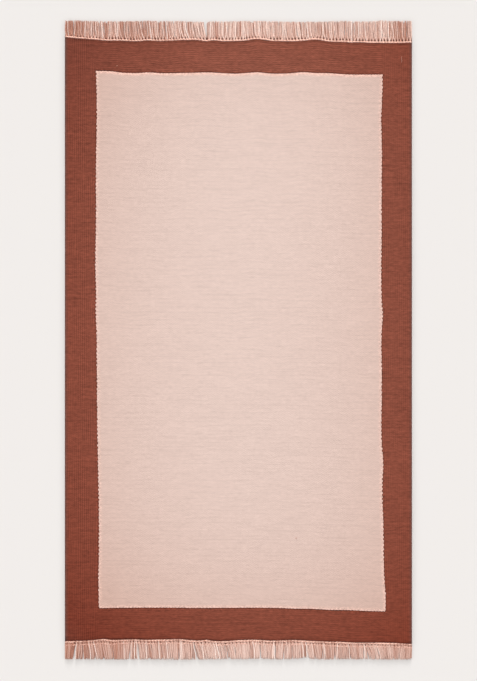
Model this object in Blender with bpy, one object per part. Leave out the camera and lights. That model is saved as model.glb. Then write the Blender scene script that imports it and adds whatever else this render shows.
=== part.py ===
"""A flatweave cotton rug lying flat: a pale pink field in a terracotta border, fringed at both ends.

The cloth is one piece. Its border and field are weft of two colours, which turn round a shared warp
along the field's long sides, so a low ridge stands there. Beyond each woven end a twined pink cord
grips the warps, and the warps that run on through it are the fringe: one row of twining at the far
end, two at the near one. The weaver's beat and the pull of the twining leave both ends a little wavy.

Metres, +Z up. X runs across the rug and Y along its warps. The underside is at z = 0 and the origin is
in the middle of the whole rug, fringes included.
"""

import math
from collections import namedtuple

import bmesh
import bpy
import numpy as np

# Driving dimensions of the whole rug
WIDTH = 0.800
LENGTH = 1.474  # between the tips of the two fringes
THICKNESS = 0.0040
GAP = 0.0003  # between the cloth and each end cord

# The woven ends, from left to right: place across the rug, and distance from its middle
EndPoint = namedtuple("EndPoint", "across along")
FAR_END = [
    EndPoint(-0.400, 0.7012),
    EndPoint(-0.350, 0.6962),
    EndPoint(-0.295, 0.6921),
    EndPoint(-0.225, 0.6909),
    EndPoint(-0.211, 0.6928),
    EndPoint(-0.184, 0.6911),
    EndPoint(-0.110, 0.6939),
    EndPoint(-0.073, 0.6911),
    EndPoint(-0.060, 0.6928),
    EndPoint(-0.027, 0.6909),
    EndPoint(0.019, 0.6928),
    EndPoint(0.044, 0.6960),
    EndPoint(0.069, 0.6921),
    EndPoint(0.120, 0.6909),
    EndPoint(0.152, 0.6923),
    EndPoint(0.175, 0.6946),
    EndPoint(0.198, 0.6916),
    EndPoint(0.258, 0.6877),
    EndPoint(0.350, 0.6868),
    EndPoint(0.400, 0.6893),
]
NEAR_END = [
    EndPoint(-0.400, 0.6916),
    EndPoint(-0.336, 0.6886),
    EndPoint(-0.308, 0.6865),
    EndPoint(-0.295, 0.6880),
    EndPoint(-0.253, 0.6866),
    EndPoint(-0.211, 0.6880),
    EndPoint(-0.129, 0.6868),
    EndPoint(-0.087, 0.6896),
    EndPoint(-0.073, 0.6884),
    EndPoint(-0.060, 0.6902),
    EndPoint(0.010, 0.6884),
    EndPoint(0.037, 0.6879),
    EndPoint(0.079, 0.6898),
    EndPoint(0.125, 0.6886),
    EndPoint(0.189, 0.6914),
    EndPoint(0.272, 0.6942),
    EndPoint(0.355, 0.6953),
    EndPoint(0.400, 0.6974),
]

# The pink field's top and bottom edges, measured the same way
FAR_FIELD = [
    EndPoint(-0.330, 0.6213),
    EndPoint(-0.250, 0.6177),
    EndPoint(-0.060, 0.6194),
    EndPoint(-0.016, 0.6167),
    EndPoint(0.037, 0.6202),
    EndPoint(0.092, 0.6162),
    EndPoint(0.148, 0.6202),
    EndPoint(0.189, 0.6179),
    EndPoint(0.258, 0.6146),
    EndPoint(0.335, 0.6142),
]
NEAR_FIELD = [
    EndPoint(-0.330, 0.6142),
    EndPoint(0.010, 0.6138),
    EndPoint(0.120, 0.6151),
    EndPoint(0.189, 0.6172),
    EndPoint(0.258, 0.6192),
    EndPoint(0.340, 0.6222),
]

# The pink field's long sides, from the near end to the far one
SidePoint = namedtuple("SidePoint", "along left right")
FIELD_SIDES = [
    SidePoint(-0.614, -0.3214, 0.3400),
    SidePoint(-0.520, -0.3219, 0.3363),
    SidePoint(-0.427, -0.3216, 0.3340),
    SidePoint(-0.265, -0.3234, 0.3330),
    SidePoint(-0.240, -0.3240, 0.3305),
    SidePoint(-0.127, -0.3257, 0.3303),
    SidePoint(0.011, -0.3271, 0.3312),
    SidePoint(0.057, -0.3280, 0.3329),
    SidePoint(0.195, -0.3299, 0.3306),
    SidePoint(0.540, -0.3273, 0.3301),
    SidePoint(0.618, -0.3278, 0.3342),
]

# How high the top surface is, going in from a selvedge and from a woven end
Profile = namedtuple("Profile", "inward height")
SELVEDGE = [
    Profile(0.0000, 0.0014),
    Profile(0.0008, 0.0034),
    Profile(0.0024, 0.0045),
    Profile(0.0050, THICKNESS),
]
WOVEN_END = [Profile(0.0000, 0.0028), Profile(0.0015, THICKNESS)]
JOINT_RIDGE = Profile(0.0045, 0.0005)  # half its width, and how far it stands up

# The grid of the cloth's top
BORDER_COLUMNS = 4
FIELD_COLUMNS = 44
BORDER_ROWS = 2
FIELD_ROWS = 12

# Slow unevenness of the cloth, in radians per metre, and the cockles that fade away from the ends
Wave = namedtuple("Wave", "across along phase")
SLOW_WAVES = [Wave(7.3, 3.1, 0.6), Wave(4.1, -9.7, 2.2)]
UNEVENNESS = 0.00020
COCKLE_WAVE = Wave(60.0, 4.0, 0.0)
COCKLE = 0.00035
COCKLE_REACH = 0.070

# The fringes: one lock for each bundle of warps that comes out between two twists
LOCKS = 112
PITCH = WIDTH / LOCKS
ROOT_GAP = 0.0009
ROOT_HEIGHT = 0.0026
MOST_SHORT = 0.0024  # by which the scissors left some locks shorter
SWAY = 0.00035  # of a lock's tip, and of its middle
FAR_SEED = 11
NEAR_SEED = 12
CORD_STEPS = (-PITCH / 4, 0, PITCH / 4)  # the cord is laid straight from bundle to bundle

# Sections along a lock: share of its length, half width of its flat foot, half width of its top, height
Section = namedtuple("Section", "share foot top height")
LOCK_SECTIONS = [
    Section(0.5, 0.00275, 0.00190, 0.0030),
    Section(1.0, 0.00255, 0.00180, 0.0024),
]

# Twined cords, going out from the cloth: distance and height at a twist's two ends
Twist = namedtuple("Twist", "outward height next_outward next_height")
ONE_ROW = [
    Twist(0.0000, 0.0024, 0.0000, 0.0024),
    Twist(0.0013, 0.0042, 0.0025, 0.0031),
    Twist(0.0042, ROOT_HEIGHT, 0.0042, ROOT_HEIGHT),
]
TWO_ROWS = [
    Twist(0.0000, 0.0024, 0.0000, 0.0024),
    Twist(0.0018, 0.0042, 0.0034, 0.0031),
    Twist(0.0060, 0.0026, 0.0060, 0.0026),
    Twist(0.0092, 0.0038, 0.0092, 0.0038),
    Twist(0.0120, ROOT_HEIGHT, 0.0120, ROOT_HEIGHT),
]

# Where locks part and let the floor show: place across the rug, and width at the tips
Parting = namedtuple("Parting", "across width")
PARTING_REACH = 0.016
FAR_PARTINGS = [
    Parting(-0.308, 0.0030),
    Parting(-0.115, 0.0025),
    Parting(-0.076, 0.0042),
    Parting(-0.029, 0.0030),
    Parting(0.118, 0.0025),
    Parting(0.146, 0.0025),
    Parting(0.263, 0.0034),
]
NEAR_PARTINGS = [
    Parting(-0.376, 0.0025),
    Parting(-0.336, 0.0025),
    Parting(-0.236, 0.0045),
    Parting(-0.182, 0.0030),
    Parting(-0.053, 0.0030),
    Parting(-0.027, 0.0025),
    Parting(0.033, 0.0034),
    Parting(0.082, 0.0045),
    Parting(0.122, 0.0025),
    Parting(0.155, 0.0045),
    Parting(0.293, 0.0030),
]

# Linear colours
TERRACOTTA = (0.235, 0.068, 0.042)
PALE_PINK = (0.795, 0.610, 0.535)
FRINGE_PINK = (0.700, 0.460, 0.385)

SHARP_ANGLE = math.radians(50)


def smooth(points, at):
    """A cubic curve through a table's points, each point's slope taken from its neighbours."""
    place, value = np.array(points).T
    slope = np.gradient(value, place)
    left = np.clip(np.searchsorted(place, at, side="right") - 1, 0, len(place) - 2)
    step = place[left + 1] - place[left]
    share = np.clip((at - place[left]) / step, 0, 1)
    rest = 1 - share
    return (
        value[left] * (1 + 2 * share) * rest**2
        + value[left + 1] * (1 + 2 * rest) * share**2
        + (slope[left] * rest - slope[left + 1] * share) * step * share * rest
    )


def lattice(bm, columns, rows):
    """A closed slab on whole-number points: its top at z = 0 and its underside at z = -1."""
    bmesh.ops.create_grid(bm, x_segments=columns - 1, y_segments=rows - 1, size=0.5)
    for vertex in bm.verts:
        vertex.co.x = round((vertex.co.x + 0.5) * (columns - 1))
        vertex.co.y = round((vertex.co.y + 0.5) * (rows - 1))
    made = bmesh.ops.extrude_face_region(bm, geom=bm.faces[:])["geom"]
    lower = [item for item in made if isinstance(item, bmesh.types.BMVert)]
    bmesh.ops.translate(bm, vec=(0, 0, -1), verts=lower)


def place(bm, positions):
    """Moves every vertex from its whole-number point to positions(column, row, is_lower)."""
    points = np.array([vertex.co for vertex in bm.verts])
    column, row = np.rint(points[:, :2]).astype(int).T
    for vertex, position in zip(bm.verts, positions(column, row, points[:, 2] < -0.5)):
        vertex.co = position


def cotton(name, colour):
    material = bpy.data.materials.new(name)
    material.use_nodes = True
    shader = material.node_tree.nodes["Principled BSDF"]
    shader.inputs["Base Color"].default_value = (*colour, 1)
    shader.inputs["Roughness"].default_value = 0.95
    shader.inputs["Metallic"].default_value = 0.0
    return material


def make_object(name, bm, materials, collection):
    bmesh.ops.recalc_face_normals(bm, faces=bm.faces)
    mesh = bpy.data.meshes.new(name)
    bm.to_mesh(mesh)
    bm.free()
    for material in materials:
        mesh.materials.append(material)
    mesh.shade_smooth()
    mesh.set_sharp_from_angle(angle=SHARP_ANGLE)
    made = bpy.data.objects.new(name, mesh)
    collection.objects.link(made)
    return made


def along_rows(across):
    """Places along the rug of the cloth's rows, at these places across it."""
    far_end, near_end = smooth(FAR_END, across), -smooth(NEAR_END, across)
    far_field, near_field = smooth(FAR_FIELD, across), -smooth(NEAR_FIELD, across)
    shoulder = WOVEN_END[1].inward
    border = np.linspace(0, 1, BORDER_ROWS + 2)[:-1]
    rows = [near_end]
    rows += [near_end + shoulder + (near_field - near_end - shoulder) * t for t in border]
    rows += [near_field + (far_field - near_field) * t for t in np.linspace(0, 1, FIELD_ROWS + 1)]
    rows += [far_end - shoulder + (far_field - far_end + shoulder) * t for t in border[::-1]]
    rows += [far_end]
    return np.array(rows)


def across_columns(along):
    """Places across the rug of the cloth's columns, at this place along it."""
    sides = np.array(FIELD_SIDES)
    left, right = smooth(sides[:, [0, 1]], along), smooth(sides[:, [0, 2]], along)
    selvedge = np.array([step.inward for step in SELVEDGE])
    ridge = JOINT_RIDGE.inward
    border = np.linspace(0, 1, BORDER_COLUMNS + 2)[1:-1]
    inner = WIDTH / 2 - selvedge[-1]
    field = np.linspace(left + ridge, right - ridge, FIELD_COLUMNS + 1)
    return np.concatenate(
        [
            selvedge - WIDTH / 2,
            -inner + (left - ridge + inner) * border,
            [left - ridge, left],
            field,
            [right, right + ridge],
            inner + (right + ridge - inner) * border[::-1],
            WIDTH / 2 - selvedge[::-1],
        ]
    )


def cloth_grid():
    """Places of the cloth's top points, as two arrays with a row for each row."""
    nominal = along_rows(np.array([0.0]))[:, 0]
    across = np.array([across_columns(along) for along in nominal])
    along = np.array([along_rows(row)[i] for i, row in enumerate(across)])
    return across, along


def rise(wave, across, along):
    return np.sin(wave.across * across + wave.along * along + wave.phase)


def cloth_height(across, along, from_end):
    """Height of the cloth's top: rounded at its edges, a little uneven, cockled near the ends."""
    side = np.interp(WIDTH / 2 - np.abs(across), *np.array(SELVEDGE).T)
    end = np.interp(from_end, *np.array(WOVEN_END).T)
    slow = sum(rise(wave, across, along) for wave in SLOW_WAVES)
    inside = np.clip(from_end / COCKLE_REACH, 0, 1)
    cockle = rise(COCKLE_WAVE, across, along) * np.exp(-from_end / COCKLE_REACH)
    return np.minimum(side, end) + UNEVENNESS * slow * inside + COCKLE * cockle


def add_cloth(collection):
    across, along = cloth_grid()
    rows, columns = across.shape
    from_end = np.minimum(along - along[0], along[-1] - along)
    height = cloth_height(across, along, from_end)
    first_column = len(SELVEDGE) + BORDER_COLUMNS + 1
    last_column = columns - 1 - first_column
    first_row = BORDER_ROWS + 2
    last_row = rows - 1 - first_row
    height[first_row : last_row + 1, [first_column, last_column]] += JOINT_RIDGE.height

    def positions(column, row, is_lower):
        up = np.where(is_lower, 0, height[row, column])
        return np.stack([across[row, column], along[row, column], up], 1)

    bm = bmesh.new()
    lattice(bm, columns, rows)
    for face in bm.faces:
        middle = face.calc_center_median()
        in_field = first_column < middle.x < last_column and first_row < middle.y < last_row
        face.material_index = int(in_field)
    place(bm, positions)
    materials = [cotton("terracotta cotton weft", TERRACOTTA), cotton("pink cotton weft", PALE_PINK)]
    return make_object("cloth", bm, materials, collection)


def lock_shapes(partings, seed):
    """For each lock: how far its tip and its middle lean across, and how much it is cut short."""
    random = np.random.default_rng(seed)
    root = (np.arange(LOCKS) + 0.5) * PITCH - WIDTH / 2
    lean = random.uniform(-SWAY, SWAY, LOCKS)
    for parting in partings:
        away = root - parting.across
        lean += np.sign(away) * parting.width / 2 * np.exp(-np.abs(away) / PARTING_REACH)
    edge = WIDTH / 2 - LOCK_SECTIONS[-1].foot
    lean = np.clip(root + lean, -edge, edge) - root
    bow = lean / 2 + random.uniform(-SWAY, SWAY, LOCKS)
    short = random.uniform(0, 1, LOCKS) ** 2
    return bow, lean, (short - short.min()) * MOST_SHORT


def clear_of_cloth(x, towards):
    """How far out the end cord's inner wall lies at x: a gap past the cloth's reach near there."""
    across, along = cloth_grid()
    end_row = -1 if towards > 0 else 0
    nearby = [np.interp(x + step, across[end_row], towards * along[end_row]) for step in CORD_STEPS]
    return GAP + np.max(nearby, axis=0)


def add_fringe(name, towards, cord, partings, seed, collection):
    """A twined cord along one woven end, with a lock extruded from its outer wall for each bundle."""
    *leans, short = lock_shapes(partings, seed)
    root = (np.arange(LOCKS) + 0.5) * PITCH - WIDTH / 2
    outer = len(cord) - 1

    def positions(column, row, is_lower):
        lock, side = column // 2, column % 2 * 2 - 1
        x = root[lock] + side * (PITCH - ROOT_GAP) / 2
        end = clear_of_cloth(x, towards)
        steps = np.array(cord)[np.minimum(row, outer)]
        outward = end + np.where(side < 0, steps[:, 0], steps[:, 2])
        up = np.where(side < 0, steps[:, 1], steps[:, 3])
        for number, (section, lean) in enumerate(zip(LOCK_SECTIONS, leans), 1):
            here = row == outer + number
            half = np.where(is_lower, section.foot, section.top)
            x = np.where(here, root[lock] + lean[lock] + side * half, x)
            reach = (LENGTH / 2 - short[lock] - outward) * section.share
            outward = np.where(here, outward + reach, outward)
            up = np.where(here, section.height, up)
        return np.stack([x, towards * outward, np.where(is_lower, 0, up)], 1)

    bm = bmesh.new()
    lattice(bm, 2 * LOCKS, len(cord))
    middles = [face.calc_center_median() for face in bm.faces]
    outer_walls = zip(bm.faces, middles)
    faces = [face for face, at in outer_walls if at.y == outer and int(at.x) % 2 == 0]
    for _ in LOCK_SECTIONS:
        faces = bmesh.ops.extrude_discrete_faces(bm, faces=faces)["faces"]
        tips = list({vertex for face in faces for vertex in face.verts})
        bmesh.ops.translate(bm, vec=(0, 1, 0), verts=tips)
    place(bm, positions)
    return make_object(name, bm, [cotton("pink cotton warp", FRINGE_PINK)], collection)


def main():
    for old in list(bpy.data.objects):
        bpy.data.objects.remove(old, do_unlink=True)
    rug = bpy.data.collections.new("flatweave rug")
    bpy.context.scene.collection.children.link(rug)
    add_cloth(rug)
    add_fringe("far_fringe", 1, ONE_ROW, FAR_PARTINGS, FAR_SEED, rug)
    add_fringe("near_fringe", -1, TWO_ROWS, NEAR_PARTINGS, NEAR_SEED, rug)


main()
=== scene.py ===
"""A flatweave cotton rug lying flat on a pale floor, seen from straight above.

The cloth comes first, then the twined cords of its two ends, the fringes beyond them, the few loose bits
of yarn, and last the floor, the light and the camera. Metres, +Z up, X across the rug, Y along its warps.
"""

import math

import bpy
import numpy as np
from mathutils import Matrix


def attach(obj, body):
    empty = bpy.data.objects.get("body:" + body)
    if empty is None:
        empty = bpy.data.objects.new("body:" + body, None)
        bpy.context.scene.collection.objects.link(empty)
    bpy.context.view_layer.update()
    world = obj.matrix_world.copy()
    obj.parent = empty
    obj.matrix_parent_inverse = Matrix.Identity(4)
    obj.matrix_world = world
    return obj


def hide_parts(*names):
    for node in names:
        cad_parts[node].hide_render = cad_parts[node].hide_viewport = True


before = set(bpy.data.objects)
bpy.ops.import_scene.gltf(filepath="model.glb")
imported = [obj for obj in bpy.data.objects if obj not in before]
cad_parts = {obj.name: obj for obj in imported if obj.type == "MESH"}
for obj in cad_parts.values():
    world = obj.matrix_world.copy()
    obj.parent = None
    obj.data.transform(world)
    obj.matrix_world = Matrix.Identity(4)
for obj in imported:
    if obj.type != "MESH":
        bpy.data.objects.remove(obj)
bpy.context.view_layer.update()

# The cloth
# One piece of cotton flatweave. Thick soft weft is beaten down until it hides the warps, terracotta for
# the border and pale pink for the field. At the field's long sides the two colours turn round a shared
# warp, tooth by tooth, and at its ends the weaver simply changed the weft.
WIDTH = 0.800
LENGTH = 1.474
THICKNESS = 0.0040
RIB = 0.00357  # from warp to warp, half a twined bundle
PICK = 0.0023  # from weft to weft

# Places across the rug and distances from its middle along it, of the woven ends and the field's ends
FAR_END = [
    (-0.400, 0.7002), (-0.368, 0.6974), (-0.345, 0.6958), (-0.295, 0.6920), (-0.276, 0.6925),
    (-0.258, 0.6911), (-0.225, 0.6909), (-0.211, 0.6926), (-0.184, 0.6911), (-0.129, 0.6934),
    (-0.110, 0.6939), (-0.092, 0.6930), (-0.073, 0.6911), (-0.060, 0.6928), (-0.037, 0.6908),
    (0.000, 0.6914), (0.019, 0.6928), (0.044, 0.6960), (0.069, 0.6921), (0.120, 0.6909),
    (0.152, 0.6923), (0.175, 0.6944), (0.198, 0.6916), (0.221, 0.6891), (0.240, 0.6894),
    (0.258, 0.6878), (0.277, 0.6882), (0.300, 0.6871), (0.350, 0.6868), (0.400, 0.6874),
]
NEAR_END = [
    (-0.400, 0.6916), (-0.336, 0.6886), (-0.308, 0.6865), (-0.295, 0.6880), (-0.253, 0.6866),
    (-0.211, 0.6880), (-0.129, 0.6868), (-0.087, 0.6896), (-0.073, 0.6884), (-0.060, 0.6902),
    (0.010, 0.6884), (0.037, 0.6879), (0.079, 0.6898), (0.125, 0.6886), (0.189, 0.6914),
    (0.272, 0.6942), (0.355, 0.6953), (0.400, 0.6974),
]
FAR_FIELD = [
    (-0.330, 0.6217), (-0.296, 0.6210), (-0.262, 0.6172), (-0.228, 0.6169), (-0.207, 0.6182),
    (-0.185, 0.6168), (-0.120, 0.6170), (-0.065, 0.6182), (-0.030, 0.6162), (-0.004, 0.6154),
    (0.020, 0.6171), (0.045, 0.6185), (0.071, 0.6160), (0.112, 0.6158), (0.150, 0.6188),
    (0.180, 0.6167), (0.205, 0.6166), (0.245, 0.6140), (0.335, 0.6134),
]
NEAR_FIELD = [
    (-0.330, 0.6145), (-0.226, 0.6133), (-0.133, 0.6135), (-0.097, 0.6141), (-0.041, 0.6138),
    (0.070, 0.6138), (0.100, 0.6143), (0.125, 0.6156), (0.165, 0.6159), (0.217, 0.6187),
    (0.254, 0.6190), (0.290, 0.6208), (0.340, 0.6221),
]
# Places along the rug, and of the field's two long sides across it
FIELD_LEFT = [
    (-0.614, -0.3209), (-0.560, -0.3221), (-0.500, -0.3213), (-0.413, -0.3211), (-0.358, -0.3217),
    (-0.302, -0.3230), (-0.164, -0.3251), (-0.026, -0.3263), (0.029, -0.3268), (0.057, -0.3281),
    (0.112, -0.3279), (0.180, -0.3295), (0.251, -0.3283), (0.416, -0.3277), (0.541, -0.3262),
    (0.618, -0.3277),
]
FIELD_RIGHT = [
    (-0.614, 0.3385), (-0.579, 0.3386), (-0.551, 0.3360), (-0.496, 0.3345), (-0.441, 0.3339),
    (-0.330, 0.3314), (-0.275, 0.3333), (-0.240, 0.3302), (-0.219, 0.3293), (-0.136, 0.3299),
    (-0.081, 0.3303), (-0.026, 0.3294), (0.029, 0.3300), (0.057, 0.3322), (0.085, 0.3304),
    (0.112, 0.3294), (0.250, 0.3298), (0.361, 0.3297), (0.444, 0.3304), (0.527, 0.3292),
    (0.555, 0.3309), (0.590, 0.3318), (0.618, 0.3314),
]


def smooth(points, at):
    """A cubic curve through a table's points, each point's slope taken from its neighbours."""
    place, value = np.array(points).T
    slope = np.gradient(value, place)
    left = np.clip(np.searchsorted(place, at, side="right") - 1, 0, len(place) - 2)
    step = place[left + 1] - place[left]
    share = np.clip((at - place[left]) / step, 0, 1)
    rest = 1 - share
    return (
        value[left] * (1 + 2 * share) * rest**2
        + value[left + 1] * (1 + 2 * rest) * share**2
        + (slope[left] * rest - slope[left + 1] * share) * step * share * rest
    )


# How high the top is, going in from a selvedge and from a woven end
SELVEDGE = [
    (0.0000, 0.0012), (0.0003, 0.0024), (0.0008, 0.0034), (0.0015, 0.0041), (0.0024, 0.0045),
    (0.0036, 0.0043), (0.0050, THICKNESS),
]
WOVEN_END = [(0.0, 0.0026), (0.0006, 0.0034), (0.0015, 0.0039), (0.0032, THICKNESS)]
RIDGE_REACH = 0.0045  # half the width of the low ridge where the colours turn round one warp
RIDGE_HEIGHT = 0.0004
RIDGE_STEPS = 3
BORDER_COLUMNS = 16
FIELD_COLUMNS = 180
BORDER_ROWS = 16
FIELD_ROWS = 176
UNDER_STEP = 10  # the flat underside has one column for this many of the top's
# Slow unevenness of the cloth, as radians a metre across and along, and a phase
SLOW_WAVES = [(7.3, 3.1, 0.6), (4.1, -9.7, 2.2)]
UNEVENNESS = 0.0002
# The twining pulls the cloth's ends into small cockles, which fade away from them
COCKLE_RATES = (60.0, 4.0)
COCKLE_REACH = 0.07
COCKLE = 0.00035
# Hollows and swellings that the beater leaves: how many waves, the shortest and the longest of them
BEAT_WAVES = (24, 0.018, 0.060)
BEAT_SEED = 5
BEAT = 0.00008
BEAT_REACH = 0.01


def row_places(across):
    """Places along the rug of the rows, blended straight between the four wavy lines at each place."""
    far_end, near_end = smooth(FAR_END, across), -smooth(NEAR_END, across)
    far_field, near_field = smooth(FAR_FIELD, across), -smooth(NEAR_FIELD, across)
    inward = np.array(WOVEN_END)[:, 0]
    border = np.linspace(0, 1, BORDER_ROWS + 2)[1:-1]
    field = np.linspace(0, 1, FIELD_ROWS + 1)
    near_shoulder, far_shoulder = near_end + inward[-1], far_end - inward[-1]
    rows = [near_end + step for step in inward]
    rows += [near_shoulder + (near_field - near_shoulder) * t for t in border]
    rows += [near_field + (far_field - near_field) * t for t in field]
    rows += [far_field + (far_shoulder - far_field) * t for t in border]
    rows += [far_end - step for step in inward[::-1]]
    return np.array(rows)


def column_places(along):
    """Places across the rug of the columns: the selvedges are straight and the joints follow the field."""
    left, right = smooth(FIELD_LEFT, along), smooth(FIELD_RIGHT, along)
    selvedge = np.array(SELVEDGE)[:, 0]
    ridge = np.linspace(-RIDGE_REACH, RIDGE_REACH, 2 * RIDGE_STEPS + 1)
    border = np.linspace(0, 1, BORDER_COLUMNS + 2)[1:-1]
    field = np.linspace(0, 1, FIELD_COLUMNS + 1)[1:-1]
    edge = WIDTH / 2 - selvedge[-1]
    left_joint, right_joint = left + ridge, right + ridge
    return np.concatenate(
        [
            selvedge - WIDTH / 2,
            -edge + (left_joint[0] + edge) * border,
            left_joint,
            left_joint[-1] + (right_joint[0] - left_joint[-1]) * field,
            right_joint,
            right_joint[-1] + (edge - right_joint[-1]) * border,
            WIDTH / 2 - selvedge[::-1],
        ]
    )


def waves(across, along, count, shortest, longest, seed):
    """A sum of plane waves in random directions, of random phases and lengths, about one high in all."""
    random = np.random.default_rng(seed)
    turn = random.uniform(0, 2 * np.pi, count)
    rate = 2 * np.pi / random.uniform(shortest, longest, count)
    phase = random.uniform(0, 2 * np.pi, count)
    at = across[..., None] * np.cos(turn) + along[..., None] * np.sin(turn)
    return np.sin(rate * at + phase).sum(-1) / math.sqrt(count)


def cloth_height(across, along, from_end, from_joint):
    """Height of the top: the lower of two edge profiles, plus waves, cockles, beat and a ridge at joints.

    The slow waves and the cockles are sines, the cockles times an exponential of the distance from the
    end. The beat is a sum of plane waves, and the ridge is a raised cosine of the distance from a joint.
    """
    side = np.interp(WIDTH / 2 - np.abs(across), *np.array(SELVEDGE).T)
    end = np.interp(from_end, *np.array(WOVEN_END).T)
    slow = sum(np.sin(u * across + v * along + phase) for u, v, phase in SLOW_WAVES)
    inside = np.clip(from_end / COCKLE_REACH, 0, 1)
    cockle = np.sin(COCKLE_RATES[0] * across + COCKLE_RATES[1] * along) * np.exp(-from_end / COCKLE_REACH)
    beat = waves(across, along, *BEAT_WAVES, BEAT_SEED) * np.clip(from_end / BEAT_REACH, 0, 1)
    ridge = 0.5 + 0.5 * np.cos(np.pi * np.clip(from_joint / RIDGE_REACH, -1, 1))
    top = np.minimum(side, end) + UNEVENNESS * slow * inside + COCKLE * cockle
    return top + BEAT * beat + RIDGE_HEIGHT * ridge


def add_piece(name, points, faces, material, corner_map=None, **attributes):
    """Makes one smooth object of points and faces, with a map for its corners and values for its points."""
    mesh = bpy.data.meshes.new(name)
    mesh.from_pydata(points.tolist(), [], faces)
    for label, values in attributes.items():
        made = mesh.attributes.new(label, "FLOAT", "POINT")
        made.data.foreach_set("value", np.asarray(values, np.float32).ravel())
    if corner_map is not None:
        layer = mesh.uv_layers.new(name="yarns")
        layer.data.foreach_set("uv", np.asarray(corner_map, np.float32).ravel())
    mesh.shade_smooth()
    mesh.materials.append(material)
    made = bpy.data.objects.new(name, mesh)
    bpy.context.scene.collection.objects.link(made)
    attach(made, "root")
    return made


def linear(code):
    """An sRGB hex colour as linear numbers: a power above a small value, and a straight line below it."""
    parts = np.array([int(code[i : i + 2], 16) for i in (1, 3, 5)]) / 255
    light = np.where(parts <= 0.04045, parts / 12.92, ((parts + 0.055) / 1.055) ** 2.4)
    return (*light.tolist(), 1.0)


def add_node(tree, kind, settings, sockets=()):
    """Adds a node, sets its properties, and gives each named socket its value or its link."""
    made = tree.nodes.new(kind)
    for name, value in settings.items():
        setattr(made, name, value)
    for name, value in dict(sockets).items():
        if isinstance(value, bpy.types.Node):
            value = value.outputs[0]
        if isinstance(value, bpy.types.NodeSocket):
            tree.links.new(value, made.inputs[name])
        else:
            made.inputs[name].default_value = value
    return made


def maths(tree, operation, *values):
    """One arithmetic operation on up to three numbers or sockets."""
    return add_node(tree, "ShaderNodeMath", {"operation": operation}, enumerate(values))


def blend(tree, share, first, second):
    """A colour that goes from first to second as share goes from 0 to 1."""
    sockets = {"Factor": share, 6: first, 7: second}
    made = add_node(tree, "ShaderNodeMix", {"data_type": "RGBA"}, sockets)
    return made.outputs[2]


def band(tree, value, low, high, smoothly=True):
    """0 below low and 1 above high, or the other way round when low is the greater."""
    kind = "SMOOTHSTEP" if smoothly else "LINEAR"
    sockets = {"Value": value, "From Min": low, "From Max": high, "To Min": 0, "To Max": 1}
    return add_node(tree, "ShaderNodeMapRange", {"interpolation_type": kind}, sockets)


def fibre_noise(tree, across, along, scale_across, scale_along):
    """Noise between 0 and 1 on two coordinates in metres, with so many swings a metre each way."""
    sockets = {
        "X": maths(tree, "MULTIPLY", across, scale_across),
        "Y": maths(tree, "MULTIPLY", along, scale_along),
    }
    at = add_node(tree, "ShaderNodeCombineXYZ", {}, sockets)
    sockets = {"Vector": at, "Scale": 1.0, "Detail": 1.0}
    return add_node(tree, "ShaderNodeTexNoise", {"noise_dimensions": "2D"}, sockets)


def shade(tree, colour, share):
    """A colour times a brightness that is a number or a socket."""
    settings = {"operation": "SCALE"}
    return add_node(tree, "ShaderNodeVectorMath", settings, {0: colour, "Scale": share})


# Cotton weft, dyed in the yarn and hand woven. It is matt and softly lit, and shows fine uneven streaks
# along the picks, because thick and thin places and small differences of dye run along each yarn.
weft = bpy.data.materials.new("dyed cotton weft, weft-faced weave")
weft.use_nodes = True
tree = weft.node_tree
shader = tree.nodes["Principled BSDF"]
shader.inputs["Roughness"].default_value = 0.92
shader.inputs["Specular IOR Level"].default_value = 0.1
shader.inputs["Sheen Weight"].default_value = 0.02
shader.inputs["Sheen Roughness"].default_value = 0.5

yarn_map = add_node(tree, "ShaderNodeUVMap", {"uv_map": "yarns"})
split = add_node(tree, "ShaderNodeSeparateXYZ", {}, {0: yarn_map})
straight_across, straight_along = split.outputs[0], split.outputs[1]


def attribute(tree, name):
    """The values that a mesh gives its points under this name."""
    return add_node(tree, "ShaderNodeAttribute", {"attribute_name": name}).outputs["Fac"]


# Picks wander slowly by a millimetre or so each way, and warps by a little less, as beaten by hand
PICK_WANDER = 0.0060
WARP_WANDER = 0.0034
stray_along = fibre_noise(tree, straight_across, straight_along, 13.0, 9.0)
along = maths(tree, "MULTIPLY_ADD", stray_along, PICK_WANDER, straight_along)
stray_across = fibre_noise(tree, straight_across, straight_along, 60.0, 90.0)
across = maths(tree, "MULTIPLY_ADD", stray_across, WARP_WANDER, straight_across)

# Teeth of the joint: two picks of each colour in turn reach over the shared warp
TOOTH = 2 * PICK
TOOTH_DEPTH = 0.0005
TOOTH_CHANCE = 0.0010
BEAD_REACH = 0.0008  # how far a bead of the first pink pick stands into the border
COLOUR_CHANGE = 0.0002  # half the width over which one colour gives way to the other
step_number = maths(tree, "FLOOR", maths(tree, "DIVIDE", straight_along, TOOTH))
turn = maths(tree, "MULTIPLY_ADD", maths(tree, "PINGPONG", step_number, 1), 2, -1)
chance = add_node(tree, "ShaderNodeTexWhiteNoise", {"noise_dimensions": "1D"}, {"W": step_number})
uneven = maths(tree, "MULTIPLY_ADD", chance, TOOTH_CHANCE, -TOOTH_CHANCE / 2)
tooth = maths(tree, "MULTIPLY_ADD", turn, TOOTH_DEPTH, uneven)
side = maths(tree, "ADD", attribute(tree, "to_side"), tooth)
# At its ends the field begins with the beads of the first pink pick
bead = maths(tree, "ABSOLUTE", maths(tree, "SINE", maths(tree, "MULTIPLY", across, math.pi / RIB / 2)))
end = maths(tree, "MULTIPLY_ADD", bead, BEAD_REACH, attribute(tree, "to_end"))
inside = maths(tree, "MINIMUM", side, end)
in_field = band(tree, inside, -COLOUR_CHANGE, COLOUR_CHANGE, False)

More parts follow.
